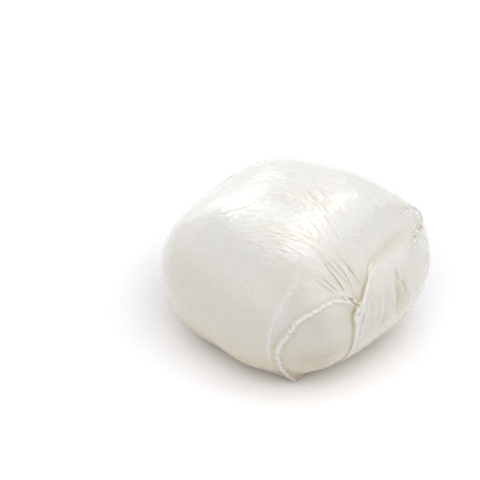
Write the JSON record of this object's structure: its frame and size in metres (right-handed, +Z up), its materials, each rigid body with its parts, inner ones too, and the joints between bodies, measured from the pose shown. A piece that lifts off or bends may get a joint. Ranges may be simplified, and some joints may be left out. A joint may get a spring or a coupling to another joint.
{
  "type": "mozzarella ball",
  "caption": "Ball of fresh mozzarella with a pinched crease, a folded tongue and a lapped flap, resting on its flat foot.",
  "frame": {"origin": "under the middle of the ball, on the surface that it rests on", "axes": "+Z up; the pinched side with the crease and the tongue faces -Y and +X"},
  "size_m": [0.0709, 0.0748, 0.0447],
  "materials": {
    "fresh_curd": "moist satin, slightly translucent"
  },
  "bodies": {
    "root": {"mozzarella_ball": "fresh_curd"}
  },
  "joints": []
}
